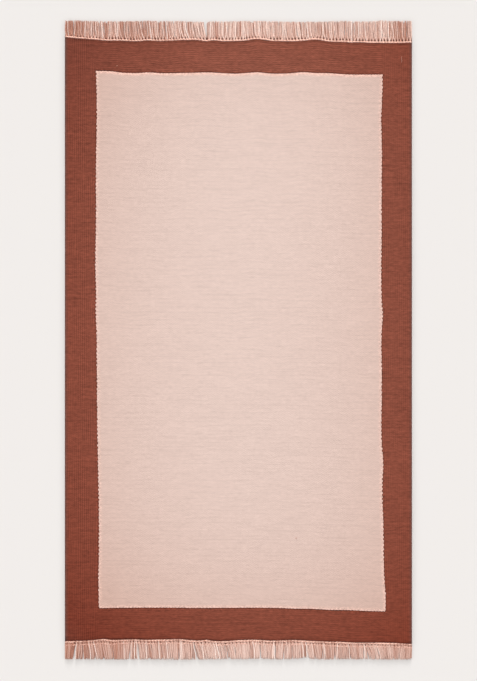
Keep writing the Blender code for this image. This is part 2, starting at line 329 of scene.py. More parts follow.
# Beads of weft: each shows over one warp, and the next pick's beads over the warps between
BEAD_FLATNESS = 0.6
half_across = maths(tree, "MULTIPLY", across, math.pi / (2 * RIB))
half_along = maths(tree, "MULTIPLY", along, math.pi / (2 * PICK))
over = maths(tree, "MULTIPLY", maths(tree, "COSINE", half_across), maths(tree, "COSINE", half_along))
under = maths(tree, "MULTIPLY", maths(tree, "SINE", half_across), maths(tree, "SINE", half_along))
higher = maths(tree, "MAXIMUM", maths(tree, "ABSOLUTE", over), maths(tree, "ABSOLUTE", under))
beads = maths(tree, "POWER", higher, BEAD_FLATNESS)

# Streaks: each pick has its own tone, which drifts along it, and there are slubs a centimetre or two long
PICKS_TOGETHER = 2.6
SLUB_SHARE = 1.9
pick_number = maths(tree, "FLOOR", maths(tree, "DIVIDE", along, PICK))
lone_pick = fibre_noise(tree, across, pick_number, 30.0, 7.31)
group_number = maths(tree, "FLOOR", maths(tree, "DIVIDE", along, PICKS_TOGETHER * PICK))
pick_group = fibre_noise(tree, across, group_number, 25.0, 5.17)
slub = fibre_noise(tree, across, along, 100.0, 270.0)
tones = maths(tree, "ADD", maths(tree, "ADD", lone_pick, pick_group), -1.0)
streak = maths(tree, "MULTIPLY_ADD", maths(tree, "SUBTRACT", slub, 0.5), SLUB_SHARE, tones)

# Thin lines that the weaver's beat leaves, in two spacings that fall in and out of step
LINE_WIDTHS = (0.0019, 0.0003)  # half a line's width, and half the width of its darkest part
NARROW_BEAT = (0.0097, 0.31)  # from line to line, and where the first one falls
WIDE_BEAT = (0.0143, 7.77)


def beaten_lines(tree, across, along, spacing, shift):
    """Thin lines, 1 at their middle: one each spacing along the rug, each fading in and out across it."""
    course = maths(tree, "MULTIPLY_ADD", along, 1 / spacing, shift)
    number = maths(tree, "FLOOR", course)
    part = maths(tree, "SUBTRACT", maths(tree, "SUBTRACT", course, number), 0.5)
    away = maths(tree, "MULTIPLY", maths(tree, "ABSOLUTE", part), spacing)
    length = fibre_noise(tree, across, maths(tree, "ADD", number, shift), 11.0, 3.71)
    return maths(tree, "MULTIPLY", band(tree, away, *LINE_WIDTHS), band(tree, length, 0.38, 0.64))


narrow_lines = beaten_lines(tree, across, along, *NARROW_BEAT)
wide_lines = beaten_lines(tree, across, along, *WIDE_BEAT)
lines = maths(tree, "MAXIMUM", narrow_lines, wide_lines)

# Each weft's palest and deepest colour, the blend between them being partly uneven dye and partly painted
# falloff of the light, then its plain brightness, and what streaks and lines add to it
FIELD_DYE_AND_FALLOFF_COLOURS = ("#DAC2B8", "#C9A89B")
BORDER_DYE_AND_FALLOFF_COLOURS = ("#884D3D", "#743120")
FIELD_TONES = (1.015, 0.085, -0.055)
BORDER_TONES = (1.02, 0.30, -0.12)


def dyed(tree, depth, dyes):
    """A weft's colour, from its palest to its deepest as the attribute depth goes from 0 to 1: uneven dye
    and painted light falloff.
    """
    return blend(tree, attribute(tree, depth), linear(dyes[0]), linear(dyes[1]))


def toned(tree, plain, by_streak, by_line):
    """A weft's brightness: plain, plus shares of the streaks and of the lines."""
    tone = maths(tree, "MULTIPLY_ADD", streak, by_streak, plain)
    return maths(tree, "MULTIPLY_ADD", lines, by_line, tone)


# The depths read here are partly uneven dye and partly painted falloff of the light
field_colour = dyed(tree, "field_dye", FIELD_DYE_AND_FALLOFF_COLOURS)
border_colour = dyed(tree, "border_dye", BORDER_DYE_AND_FALLOFF_COLOURS)
field_shade = toned(tree, *FIELD_TONES)
border_shade = toned(tree, *BORDER_TONES)

# Along the sides the warps show through the border as long straight ribs, clearest on the left, and at the
# ends its picks show as short lines. Both are drawn a little coarser than they are, to show at all.
RIBS_DRAWN = 0.0048
RIB_WANDER = 0.0030
RIB_TONE = (-0.14, 0.15)  # per metre across, and in the middle
LINE_TONE = (0.04, 0.17)  # per metre along, and in the middle
WHOLE_TURN = 2 * math.pi
at_sides = band(tree, side, 0.002, -0.004)
rib_stray = fibre_noise(tree, straight_across, straight_along, 60.0, 12.0)
rib_place = maths(tree, "MULTIPLY_ADD", rib_stray, RIB_WANDER, straight_across)
rib = maths(tree, "COSINE", maths(tree, "MULTIPLY", rib_place, WHOLE_TURN / RIBS_DRAWN))
rib = maths(tree, "MULTIPLY", rib, maths(tree, "MULTIPLY_ADD", straight_across, *RIB_TONE))
rib_share = band(tree, fibre_noise(tree, straight_across, straight_along, 40.0, 14.0), 0.25, 0.55)
rib = maths(tree, "MULTIPLY", rib, maths(tree, "MULTIPLY", rib_share, at_sides))
line = maths(tree, "COSINE", maths(tree, "MULTIPLY", along, WHOLE_TURN / RIBS_DRAWN))
line = maths(tree, "MULTIPLY", line, maths(tree, "MULTIPLY_ADD", straight_along, *LINE_TONE))
line_share = band(tree, fibre_noise(tree, across, along, 30.0, 60.0), 0.35, 0.60)
line_share = maths(tree, "MULTIPLY", line_share, maths(tree, "SUBTRACT", 1.0, at_sides))
border_shade = maths(tree, "ADD", border_shade, rib)
border_shade = maths(tree, "MULTIPLY_ADD", line, line_share, border_shade)

# The last terracotta yarns beside the field lie in its shadow, more so at its ends
TRENCH = 0.32
TRENCH_AT_ENDS = 0.20
at_field_end = maths(tree, "LESS_THAN", end, side)
trench_depth = maths(tree, "MULTIPLY_ADD", at_field_end, TRENCH_AT_ENDS, TRENCH)
trench = maths(tree, "MULTIPLY", band(tree, inside, -0.0038, -0.0004), trench_depth)
border_shade = maths(tree, "SUBTRACT", border_shade, trench)
# The cloth's last pick lies in the shadow of the cord
LAST_PICK = 0.33
last_pick = maths(tree, "MULTIPLY", attribute(tree, "last_pick"), LAST_PICK)
border_shade = maths(tree, "SUBTRACT", border_shade, last_pick)
# Where the weft turns at the selvedges, painted shade of the rounded edge makes it darker and greyer; the
# same blend makes the two left corners browner
SELVEDGE_SHADE_AND_CORNERS = 0.80
edge_shade_and_corners = maths(tree, "MULTIPLY", attribute(tree, "selvedge"), SELVEDGE_SHADE_AND_CORNERS)
border_colour = blend(tree, edge_shade_and_corners, border_colour, linear("#63433B"))

# The outermost pink yarns stand a little proud of the terracotta ones, and a painted highlight makes them
# brighter and warmer, more so towards the far end
SIDE_HIGHLIGHT = 0.44
END_HIGHLIGHT = (0.32, 0.72)  # per metre along, and in the middle
side_highlight = maths(tree, "MULTIPLY", band(tree, side, 0.0105, 0.0), SIDE_HIGHLIGHT)
end_highlight_strength = maths(tree, "MULTIPLY_ADD", straight_along, *END_HIGHLIGHT)
end_highlight = maths(tree, "MULTIPLY", band(tree, end, 0.0095, 0.0), end_highlight_strength)
rim_highlight = maths(tree, "MAXIMUM", side_highlight, end_highlight)
field_colour = blend(tree, rim_highlight, field_colour, linear("#EEC1B1"))

# Painted shade: the sides of the beads are darker than their tops. Beside the joint the yarns of both
# colours turn and pile up, which looks speckled.
BEAD_SHADE_RANGE = 0.13
BEAD_SIDE_SHADE = 0.910
SPECKLE = 0.85
groove_shade = maths(tree, "MULTIPLY_ADD", beads, BEAD_SHADE_RANGE, BEAD_SIDE_SHADE)
outside_joint = band(tree, inside, -0.013, -0.002)
inside_joint = band(tree, inside, 0.010, 0.001)
beside_joint = maths(tree, "MULTIPLY", outside_joint, inside_joint)
speckle = maths(tree, "SUBTRACT", fibre_noise(tree, across, along, 230.0, 260.0), 0.5)
speckle = maths(tree, "MULTIPLY", speckle, beside_joint)
groove_shade = maths(tree, "MULTIPLY_ADD", speckle, SPECKLE, groove_shade)
field_colour = shade(tree, field_colour, field_shade)
border_colour = shade(tree, border_colour, border_shade)
coloured = shade(tree, blend(tree, in_field, border_colour, field_colour), groove_shade)
tree.links.new(coloured.outputs[0], shader.inputs["Base Color"])
BEAD_HEIGHT = 0.00028
sockets = {"Height": beads, "Distance": BEAD_HEIGHT, "Strength": 0.7}
tree.links.new(add_node(tree, "ShaderNodeBump", {}, sockets).outputs[0], shader.inputs["Normal"])

plain_rows = row_places(np.array([0.0]))[:, 0]
x = np.array([column_places(place) for place in plain_rows])
y = np.array([row_places(line)[number] for number, line in enumerate(x)])
rows, columns = x.shape


def field_reach(x, y):
    """How far inside the field a point is: from its long sides, and from its ends."""
    from_sides = np.minimum(x - smooth(FIELD_LEFT, y), smooth(FIELD_RIGHT, y) - x)
    from_ends = np.minimum(y + smooth(NEAR_FIELD, x), smooth(FAR_FIELD, x) - y)
    return from_sides, from_ends


def pink_dye_and_falloff(x, y):
    """How deep the pink looks, 0 to 1: a short polynomial, deeper to the sides and to the near end, partly
    uneven dye and partly painted falloff of the light.
    """
    even = 0.04 + 4.02 * x**2 - 0.12 * y - 0.54 * y**3 + 2.52 * y**4
    return even + 0.91 * x**2 * y - 0.79 * x * y**2 + 1.26 * x**2 * y**2


def terracotta_dye_and_falloff(x, y):
    """How deep the terracotta looks, 0 to 1: a short polynomial, deepest at the near left corner, partly
    uneven dye and partly painted falloff of the light.
    """
    even = 2.89 * x**2 - 4.17 * x**4 + 0.064 * y**2 + 1.04 * y**4 + 2.36 * x**2 * y**2
    return even - 0.128 * x - 0.147 * y - 0.049 * x * y + 0.66 * x**2 * y - 0.425 * x * y**2 - 0.377 * y**3


def near_corner(x, y, corner_x, corner_y, reach):
    """1 at a corner of the cloth, and an exponential of the distance from it elsewhere."""
    return np.exp(-np.hypot(x - corner_x, y - corner_y) / reach)


# The ridge of the joints narrows to nothing just past the field's ends
RIDGE_RUN_OUT = 0.006
FAR_AWAY = 1.0
from_end = np.minimum(y - y[0], y[-1] - y)
from_sides, from_ends = field_reach(x, y)
beside_field = np.clip(1 + from_ends / RIDGE_RUN_OUT, 0, 1)
from_joint = np.where(beside_field > 0, from_sides / np.maximum(beside_field, 0.05), FAR_AWAY)
z = cloth_height(x, y, from_end, from_joint)

# The section runs over the top and back under the flat underside, and both ends are closed
under_columns = np.arange(0, columns, UNDER_STEP)
x = np.concatenate([x, x[:, under_columns[::-1]]], 1)
y = np.concatenate([y, y[:, under_columns[::-1]]], 1)
z = np.concatenate([z, np.zeros((rows, len(under_columns)))], 1)
ring = x.shape[1]
number = np.arange(rows * ring).reshape(rows, ring)
beside = np.roll(number, -1, 1)
quads = np.stack([number[:-1], beside[:-1], beside[1:], number[1:]], -1).reshape(-1, 4)
cap_lines = np.arange(UNDER_STEP + 1) + under_columns[:-1, None]
under_at = ring - 1 - np.arange(len(under_columns))
caps = np.concatenate([cap_lines, under_at[1:, None], under_at[:-1, None]], 1)
far_caps = caps + (rows - 1) * ring
near_caps = caps[:, ::-1]
picks = np.broadcast_to(plain_rows[:, None], x.shape)
point_map = np.stack([x, picks], -1).reshape(-1, 2)
from_sides, from_ends = field_reach(x, y)
from_woven_end = np.minimum(y + smooth(NEAR_END, x), smooth(FAR_END, x) - y)
# The two left corners look a little browner than the rest of the border: where, and how far it shows
FAR_LEFT = (-WIDTH / 2, 0.70, 0.14)
NEAR_LEFT = (-WIDTH / 2, -0.69, 0.10)
BROWNER_FAR = 0.35
BROWNER_NEAR = 0.30
DEEPER_NEAR = 0.18
at_far_left = near_corner(x, y, *FAR_LEFT)
at_near_left = near_corner(x, y, *NEAR_LEFT)
# How far in from a selvedge the painted shade of its rounded edge reaches, and from a woven end the shadow
# on its last pick
SELVEDGE_SHADE_REACH = 0.0085
LAST_PICK_REACH = 0.0042
selvedge_rim_shade = np.clip(1 - (WIDTH / 2 - np.abs(x)) / SELVEDGE_SHADE_REACH, 0, 1)
cloth = add_piece(
    "woven_cloth",
    np.stack([x, y, z], -1).reshape(-1, 3),
    quads.tolist() + far_caps.tolist() + near_caps.tolist(),
    weft,
    point_map[np.concatenate([quads.ravel(), far_caps.ravel(), near_caps.ravel()])],
    to_side=from_sides,
    to_end=from_ends,
    field_dye=np.clip(pink_dye_and_falloff(x, y), 0, 1),
    border_dye=np.clip(terracotta_dye_and_falloff(x, y) + DEEPER_NEAR * at_near_left, 0, 1),
    selvedge=selvedge_rim_shade + BROWNER_FAR * at_far_left + BROWNER_NEAR * at_near_left,
    last_pick=np.clip(1.4 - from_woven_end / LAST_PICK_REACH, 0, 1),
)
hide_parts("cloth")

# The twined cords
# Beyond the last pick two strands of pink cotton are twined round each bundle of warps in turn, which
# locks the weave. The far end has one such row and the near end two, a few millimetres apart.
LOCKS = 112
PITCH = WIDTH / LOCKS
GAP = 0.0003  # between the cloth and a cord
CORD_TURNS = 9  # rings for each half turn
CORD_SIDES = 8
CORD_FLATNESS = 0.75  # a cord's height as a share of its width
STRAND_UNEVENNESS = 0.10


def clear_of_cloth(towards, across):
    """How far out a cord begins: a gap past the cloth's own reach close by."""
    table = FAR_END if towards > 0 else NEAR_END
    nearby = [smooth(table, across + step) for step in (-PITCH / 4, 0, PITCH / 4)]
    return GAP + np.max(nearby, axis=0)


def bundle_bounds(unevenness, seed):
    """Where each bundle of warps begins and ends: equal widths, each made a little uneven by chance."""
    random = np.random.default_rng(seed)
    width = 1 + unevenness * random.uniform(-1, 1, LOCKS)
    return WIDTH * (np.concatenate([[0], np.cumsum(width)]) / width.sum() - 0.5)


def tubes(paths, radius, sides, start=0.0):
    """Round skins on many paths at once: a ring in the plane across each path point, and flat ends.

    A ring's point is the path's point plus radius times (cosine along the level normal + sine along
    the other). The map has the share of the way round, and the distance along from start, in metres.
    """
    tangent = np.gradient(paths, axis=1)
    tangent /= np.linalg.norm(tangent, axis=-1, keepdims=True)
    level = np.cross(tangent, [0.0, 0.0, 1.0])
    level /= np.linalg.norm(level, axis=-1, keepdims=True)
    rise = np.cross(level, tangent)
    angle = np.arange(sides) / sides * 2 * np.pi
    spoke = level[:, :, None] * np.cos(angle)[:, None] + rise[:, :, None] * np.sin(angle)[:, None]
    points = paths[:, :, None] + radius[:, :, None, None] * spoke
    count, steps = paths.shape[:2]
    number = np.arange(count * steps * sides).reshape(count, steps, sides)
    beside = np.roll(number, -1, 2)
    quads = np.stack([number[:, :-1], number[:, 1:], beside[:, 1:], beside[:, :-1]], -1).reshape(-1, 4)
    first, last = number[:, 0], number[:, -1, ::-1]
    travel = np.linalg.norm(np.diff(paths, axis=1), axis=-1)
    travel = start + np.concatenate([np.zeros((count, 1)), np.cumsum(travel, 1)], 1)
    travel = travel[..., None] + 0 * angle
    around = np.broadcast_to(np.arange(sides) / sides, travel.shape)
    on = around + 1 / sides
    quad_around = np.stack([around[:, :-1], around[:, 1:], on[:, 1:], on[:, :-1]], -1)
    quad_travel = np.stack([travel[:, :-1], travel[:, 1:], travel[:, 1:], travel[:, :-1]], -1)
    quad_map = np.stack([quad_around, quad_travel], -1).reshape(-1, 2)
    first_map = np.stack([around[:, 0], travel[:, 0]], -1).reshape(-1, 2)
    last_map = np.stack([around[:, -1, ::-1], travel[:, -1, ::-1]], -1).reshape(-1, 2)
    faces = quads.tolist() + first.tolist() + last.tolist()
    return points.reshape(-1, 3), faces, np.concatenate([quad_map, first_map, last_map])


def twined_strands(towards, bounds, outward, height, thick, swing, wander, seed):
    """Two strands that wind round each other along X, half a turn for each bundle of warps.

    A strand's distance out swings by swing times a cosine and its height by a share of that times a sine,
    so the pair lies side by side over each bundle and crosses between two. The last value that comes back
    is the square of a cosine, 1 at the crossings.
    """
    steps = LOCKS * CORD_TURNS + 1
    turn = np.linspace(0, LOCKS, steps)
    x = np.interp(turn, np.arange(LOCKS + 1), bounds) * (1 - 2 * thick / WIDTH)
    stray = wander * waves(x, 0 * x, 8, 0.012, 0.07, seed)
    size = 1 + STRAND_UNEVENNESS * waves(x, 0 * x, 8, 0.012, 0.05, seed + 50)
    paths = []
    for phase in (0, np.pi):
        angle = np.pi * (turn + 1) + phase
        y = towards * (clear_of_cloth(towards, x) + outward + stray + swing * np.cos(angle))
        paths.append(np.stack([x, y, height + CORD_FLATNESS * swing * np.sin(angle)], -1))
    crossing = np.cos(np.pi * turn) ** 2
    return np.array(paths), np.array([size * thick] * 2), np.array([crossing] * 2)


def plied_cotton(name, pale, deep, plies, ply_turn, contrast):
    """A material for round yarn: dyed from pale to deep, with slanting plies and painted shade in the
    grooves between.

    A ply is the size of a sine along the slant, which goes once round the yarn in each ply_turn of its
    length. The mesh's own values say how deep the dye is, how bleached, how flushed, how dark, how crimped.
    """
    made = bpy.data.materials.new(name)
    made.use_nodes = True
    tree = made.node_tree
    shader = tree.nodes["Principled BSDF"]
    shader.inputs["Roughness"].default_value = 0.95
    shader.inputs["Specular IOR Level"].default_value = 0.1
    shader.inputs["Sheen Weight"].default_value = 0.03
    yarn_map = add_node(tree, "ShaderNodeUVMap", {"uv_map": "yarns"})
    split = add_node(tree, "ShaderNodeSeparateXYZ", {}, {0: yarn_map})
    slant = maths(tree, "MULTIPLY_ADD", split.outputs[1], 1 / ply_turn, split.outputs[0])
    ply = maths(tree, "ABSOLUTE", maths(tree, "SINE", maths(tree, "MULTIPLY", slant, math.pi * plies)))
    colour = blend(tree, attribute(tree, "dye"), linear(pale), linear(deep))
    colour = blend(tree, attribute(tree, "bleach"), colour, linear("#F4E4DC"))
    # Light that is caught between close pink yarns comes out pinker
    colour = blend(tree, attribute(tree, "flush"), colour, linear("#EDB29C"))
    # Between two bundles, and under the cord, little light gets in and it comes off terracotta yarn
    colour = blend(tree, attribute(tree, "dark"), colour, linear("#35120B"))
    # The grooves' painted shade: about 0.64 is a sine's mean size, so it leaves the mean brightness as it
    # is
    groove_shade = maths(tree, "MULTIPLY_ADD", ply, contrast, 0.99 - 0.64 * contrast)
    # Crimped yarn turns its plies now to the light and now away, every few millimetres
    fleck = fibre_noise(tree, attribute(tree, "dye"), split.outputs[1], 9.0, 400.0)
    fleck = maths(tree, "MULTIPLY", maths(tree, "SUBTRACT", fleck, 0.5), attribute(tree, "crimp"))
    lit = maths(tree, "MULTIPLY", groove_shade, maths(tree, "MULTIPLY_ADD", fleck, 0.8, 1.0))
    tree.links.new(shade(tree, colour, lit).outputs[0], shader.inputs["Base Color"])
    sockets = {"Height": ply, "Distance": 0.0002, "Strength": 0.7}
    tree.links.new(add_node(tree, "ShaderNodeBump", {}, sockets).outputs[0], shader.inputs["Normal"])
    return made


# Pink cotton yarn of three plies, softer and warmer in colour than the field. It is matt, and its plies
# show as slanting ridges, which are drawn a little coarser than they are.
twining = plied_cotton("plied pink cotton, twined", "#FFD1BF", "#AA6A56", 3, 0.0060, 0.20)

# How much a cord's dye varies along it, and how much deeper it looks where the strands cross
CORD_VARIES = 0.20
CORD_CROSSING = 0.45


def add_cord(name, towards, bounds, rows, depth, node):
    """One end's cord: a pair of twined strands for each row, its dye a sum of waves and crossings."""
    parts = [twined_strands(towards, bounds, *row) for row in rows]
    paths, radius, crossing = (np.concatenate(values) for values in zip(*parts))
    points, faces, corner_map = tubes(paths, radius, CORD_SIDES)
    varied = waves(paths[..., 0], paths[..., 1], 12, 0.01, 0.05, 77)
    dye = depth + CORD_VARIES * varied + CORD_CROSSING * crossing**2
    values = {"dye": np.clip(np.repeat(dye, CORD_SIDES), 0, 1), "crimp": np.ones(len(points))}
    cord = add_piece(name, points, faces, twining, corner_map, **values)
    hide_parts(node)
    return cord


far_bounds = bundle_bounds(0.16, 21)
near_bounds = bundle_bounds(0.45, 22)
# For each row: distance out, height, a strand's radius, how far strands swing, wander, seed
far_rows = [(0.0016, 0.0023, 0.00100, 0.00095, 0.00035, 31)]
near_rows = [
    (0.0018, 0.0023, 0.00100, 0.00095, 0.00045, 41),
    (0.0090, 0.0020, 0.00075, 0.00085, 0.00080, 42),
]
far_cord = add_cord("far_cord", 1, far_bounds, far_rows, 0.02, "far_fringe")
near_cord = add_cord("near_cord", -1, near_bounds, near_rows, 0.13, "near_fringe")

# The fringes
# The warps run on through the cord in plied ends, pinched together at each twist, and are cut to one short
# length. They lie on the floor in small tufts that lean and cross a little, and part where the floor shows.
PARTING_REACH = 0.016
FAR_PARTINGS = [
    (-0.3080, 0.0070), (-0.1150, 0.0040), (-0.0740, 0.0120), (-0.0290, 0.0030), (0.1180, 0.0030),
    (0.1460, 0.0025), (0.2630, 0.0060),
]
NEAR_PARTINGS = [
    (-0.3800, 0.0090), (-0.3360, 0.0050), (-0.2360, 0.0110), (-0.2130, 0.0050), (-0.1820, 0.0050),
    (-0.0530, 0.0050), (-0.0270, 0.0025), (0.0330, 0.0050), (0.0840, 0.0090), (0.1220, 0.0030),
    (0.1530, 0.0110), (0.2930, 0.0090),
]
# Places across the rug, and how much deeper than elsewhere the fringe's dye looks there
FAR_TONE = [
    (-0.400, 0.50), (-0.375, 0.42), (-0.355, 0.24), (-0.250, 0.15), (-0.190, 0.12), (-0.130, 0.00),
    (0.300, -0.02), (0.362, 0.02), (0.370, 0.20), (0.392, 0.18), (0.400, 0.00),
]
NEAR_TONE = [
    (-0.400, 0.35), (-0.350, 0.25), (-0.285, 0.28), (-0.240, 0.18), (-0.150, 0.10), (-0.090, 0.00),
    (0.150, 0.00), (0.260, 0.10), (0.300, -0.02), (0.335, 0.12), (0.400, 0.12),
]
# Places across the rug, and how far short of the rest the yarns are cut there
FAR_CUT = [
    (-0.400, -0.0012), (-0.366, -0.0012), (-0.345, -0.0003), (-0.300, 0.0004), (-0.240, 0.0000),
    (-0.210, -0.0010), (-0.180, 0.0002), (-0.129, 0.0002), (-0.110, 0.0012), (-0.073, 0.0016),
    (-0.055, 0.0006), (0.010, -0.0002), (0.070, 0.0002), (0.111, 0.0014), (0.203, 0.0012),
    (0.225, -0.0010), (0.245, -0.0006), (0.260, 0.0008), (0.314, 0.0004), (0.332, -0.0018),
    (0.350, 0.0002), (0.400, -0.0006),
]
NEAR_CUT = [
    (-0.400, 0.0045), (-0.330, 0.0043), (-0.250, 0.0039), (-0.180, 0.0041), (-0.130, 0.0033),
    (-0.060, 0.0043), (0.010, 0.0047), (0.055, 0.0055), (0.095, 0.0039), (0.135, 0.0053),
    (0.155, 0.0085), (0.170, 0.0051), (0.200, 0.0037), (0.240, 0.0047), (0.330, 0.0041),
    (0.400, 0.0039),
]
# Places across the rug, and how far to the right the tips lean there
FAR_LEAN = [
    (-0.400, 0.0000), (-0.370, 0.0015), (-0.331, -0.0020), (-0.290, -0.0025), (-0.250, -0.0045),
    (-0.200, -0.0045), (-0.180, -0.0030), (-0.147, -0.0055), (-0.060, -0.0040), (-0.032, 0.0010),
    (0.000, -0.0010), (0.037, -0.0040), (0.060, -0.0060), (0.085, -0.0035), (0.160, -0.0040),
    (0.198, -0.0010), (0.221, -0.0030), (0.250, 0.0010), (0.290, -0.0010), (0.314, -0.0040),
    (0.400, -0.0020),
]
NEAR_LEAN = [
    (-0.400, 0.0000), (-0.330, 0.0030), (-0.308, 0.0055), (-0.280, 0.0030), (-0.262, -0.0020),
    (-0.240, 0.0020), (-0.170, 0.0055), (-0.124, 0.0030), (-0.090, 0.0080), (-0.032, 0.0070),
    (0.037, 0.0020), (0.060, -0.0010), (0.095, -0.0025), (0.152, 0.0055), (0.221, 0.0010),
    (0.265, 0.0070), (0.320, 0.0090), (0.345, 0.0060), (0.362, -0.0020), (0.400, 0.0000),
]
# Loose pale yarns that lie on top: place at the cord, place at the tip, radius
FAR_LOOSE = [
    (-0.3910, -0.3930, 0.0008), (-0.3790, -0.3760, 0.0009), (-0.3540, -0.3520, 0.0010),
    (-0.3370, -0.3380, 0.0008), (-0.3120, -0.3150, 0.0012), (-0.2800, -0.2790, 0.0009),
    (-0.2150, -0.2285, 0.0009), (-0.1980, -0.2060, 0.0011), (-0.1630, -0.1665, 0.0010),
    (-0.1320, -0.1375, 0.0009), (-0.1120, -0.1240, 0.0013), (-0.0660, -0.0640, 0.0012),
    (0.0470, 0.0500, 0.0008), (0.1040, 0.1000, 0.0009), (0.1640, 0.1560, 0.0010),
    (0.2620, 0.2600, 0.0012), (0.2740, 0.2780, 0.0010), (0.2960, 0.2905, 0.0009),
    (0.3270, 0.3300, 0.0009),
]
NEAR_LOOSE = [
    (-0.3720, -0.3760, 0.0012), (-0.3460, -0.3400, 0.0012), (-0.3360, -0.3250, 0.0010),
    (-0.2660, -0.2620, 0.0009), (-0.2380, -0.2400, 0.0014), (-0.2350, -0.2330, 0.0012),
    (-0.2130, -0.2120, 0.0012), (-0.1850, -0.1810, 0.0012), (-0.1770, -0.1700, 0.0009),
    (-0.1680, -0.1620, 0.0009), (-0.1330, -0.1320, 0.0013), (-0.1060, -0.0980, 0.0009),
    (-0.0840, -0.0800, 0.0009), (-0.0590, -0.0510, 0.0010), (-0.0530, -0.0440, 0.0013),
    (0.0320, 0.0380, 0.0014), (0.0420, 0.0360, 0.0010), (0.0810, 0.0830, 0.0014),
    (0.1110, 0.1130, 0.0010), (0.1450, 0.1500, 0.0012), (0.1540, 0.1590, 0.0012),
    (0.1950, 0.1990, 0.0009), (0.2300, 0.2260, 0.0010), (0.2520, 0.2570, 0.0009),
    (0.2890, 0.2920, 0.0013),
]
# The yarns of one bundle, across as shares of half its width: radius, place at the cord, place further out,
# height at rest, depth of dye, how dark it is at the cord. The lower yarns' deeper dye is painted shade,
# from the upper yarns over them.
FAR_YARNS = [
    (0.00118, -0.75, -0.75, 0.00118, 0.68, 0.92),
    (0.00112, -0.25, -0.25, 0.00112, 0.68, 0.10),
    (0.00112, 0.25, 0.25, 0.00112, 0.68, 0.10),
    (0.00118, 0.75, 0.75, 0.00118, 0.68, 0.92),
    (0.00105, 1.00, 1.00, 0.00105, 0.70, 0.95),
    (0.00100, -0.20, -0.76, 0.00220, 0.43, 0.00),
    (0.00100, 0.20, 0.76, 0.00220, 0.43, 0.00),
]
NEAR_YARNS = [
    (0.00125, -0.75, -0.75, 0.00125, 0.62, 0.70),
    (0.00118, -0.25, -0.25, 0.00118, 0.62, 0.20),
    (0.00118, 0.25, 0.25, 0.00118, 0.62, 0.20),
    (0.00125, 0.75, 0.75, 0.00125, 0.62, 0.70),
    (0.00110, 1.00, 1.00, 0.00110, 0.72, 0.80),
    (0.00118, -0.40, -0.56, 0.00215, 0.46, 0.12),
    (0.00118, 0.00, 0.00, 0.00240, 0.42, 0.12),
    (0.00118, 0.40, 0.56, 0.00215, 0.46, 0.12),
]
UPPER = 0.0015  # yarns whose height at rest is more than this lie on top of the others
LOOSE_HEIGHT = 0.00275
LOOSE_BLEACH = 0.55
HIDDEN = 0.0014  # how much of each yarn is out of sight in the cloth
LEAVES_AT = (0.0017, 0.0011)  # height at the cord, of the upper yarns and of the lower ones
RAGGED = (0.0030, 0.0045)  # the most that a yarn is cut short by chance, upper and lower
OUTREACH = 0.0008  # past the rug's nominal length, before the tables' cuts are taken off
# Shares of a yarn's length: where it begins to open out and over how much, by where it lies at its height
# at rest, and from where its tip is frayed and thinner
OPENING = (0.11, 0.24)
SETTLED = 0.35
FRAYED = 0.90
TIP_TAPER = 0.25
YARN_SIDES = 6
YARN_WAVE = 0.0006
WAVE_TURNS = (0.5, 1.4)
# How the cord's shadow, a darker colour by the cord, the flush and the crimp fade out along a yarn, as
# shares of its length, and how strong they are at first
SHADOW_FROM = 0.15
SHADOW_REACH = 0.05
SHADOW = 0.92
DYE_IN_SHADOW = 0.6
DEEPER_REACH = 0.15
DEEPER = 0.12
FLUSH_REACH = 0.20
FLUSH = 0.55
CRIMP_REACH = 0.25
TIP_SHADOW = 0.16
TIP_BLEACH = 0.15
# By chance: how far off its seat a yarn is in half bundles, at the cord and opened out, how thick it is,
# how far off its height, and how much a lower yarn strays beside the upper ones
SEAT_CHANCE = 0.05
OPENED_CHANCE = 0.10
SIZES = (0.88, 1.10)
HEIGHT_CHANCE = 0.00030
LOWER_STRAY = 0.9
LOWER_CHANCE = 0.1
# Places along a yarn as shares of its length, close together near the cord where it opens out
YARN_STEPS = [0.0, 0.11, 0.16, 0.21, 0.28, 0.39, 0.54, 0.72, 0.90, 0.97, 1.0]


def spread(root, partings, lean, tuft, seed):
    """How far the tips stray across: a table's lean, and away from each parting by an exponential.

    Besides, each tuft of a few bundles leans by chance and draws in a little towards its own middle.
    """
    longest, by_chance, draw = tuft
    random = np.random.default_rng(seed)
    width = random.uniform(longest / 2, longest, LOCKS)
    edge = np.cumsum(width) - WIDTH / 2 - longest
    own = np.searchsorted(edge, root)
    stray = smooth(lean, root) + by_chance * random.normal(0, 1, LOCKS)[own]
    stray += draw * random.uniform(0.2, 1, LOCKS)[own] * (edge[own] - width[own] / 2 - root)
    for across, gap in partings:
        away = root - across
        stray += np.sign(away) * gap / 2 * np.exp(-np.abs(away) / PARTING_REACH)
    return stray


def ease(share):
    """From 0 to 1 by a cubic that starts and ends level."""
    share = np.clip(share, 0, 1)
    return share**2 * (3 - 2 * share)


def yarn_looks(t, dye, dark, bleach, crimped):
    """What a fringe material reads along each yarn, t being the share of its length from inside the cloth.

    What the cord does, its shadow, the flush and the crimp, fades away from it by exponentials. What the
    scissors do, a frayed and paler tip with a little shadow, comes in over the last tenth.
    """
    at_cord = dark * np.exp(-np.clip(t - SHADOW_FROM, 0, 1) / SHADOW_REACH)
    at_tip = np.clip((t - FRAYED) / (1 - FRAYED), 0, 1)
    everywhere = 0 * dye
    return {
        "dye": np.clip(dye + DYE_IN_SHADOW * at_cord + DEEPER * np.exp(-t / DEEPER_REACH), 0, 1),
        "dark": SHADOW * at_cord + TIP_SHADOW * at_tip,
        "bleach": bleach + TIP_BLEACH * at_tip,
        "flush": FLUSH * np.exp(-t / FLUSH_REACH) + everywhere,
        "crimp": crimped[1] + (crimped[0] - crimped[1]) * np.exp(-t / CRIMP_REACH) + everywhere,
    }


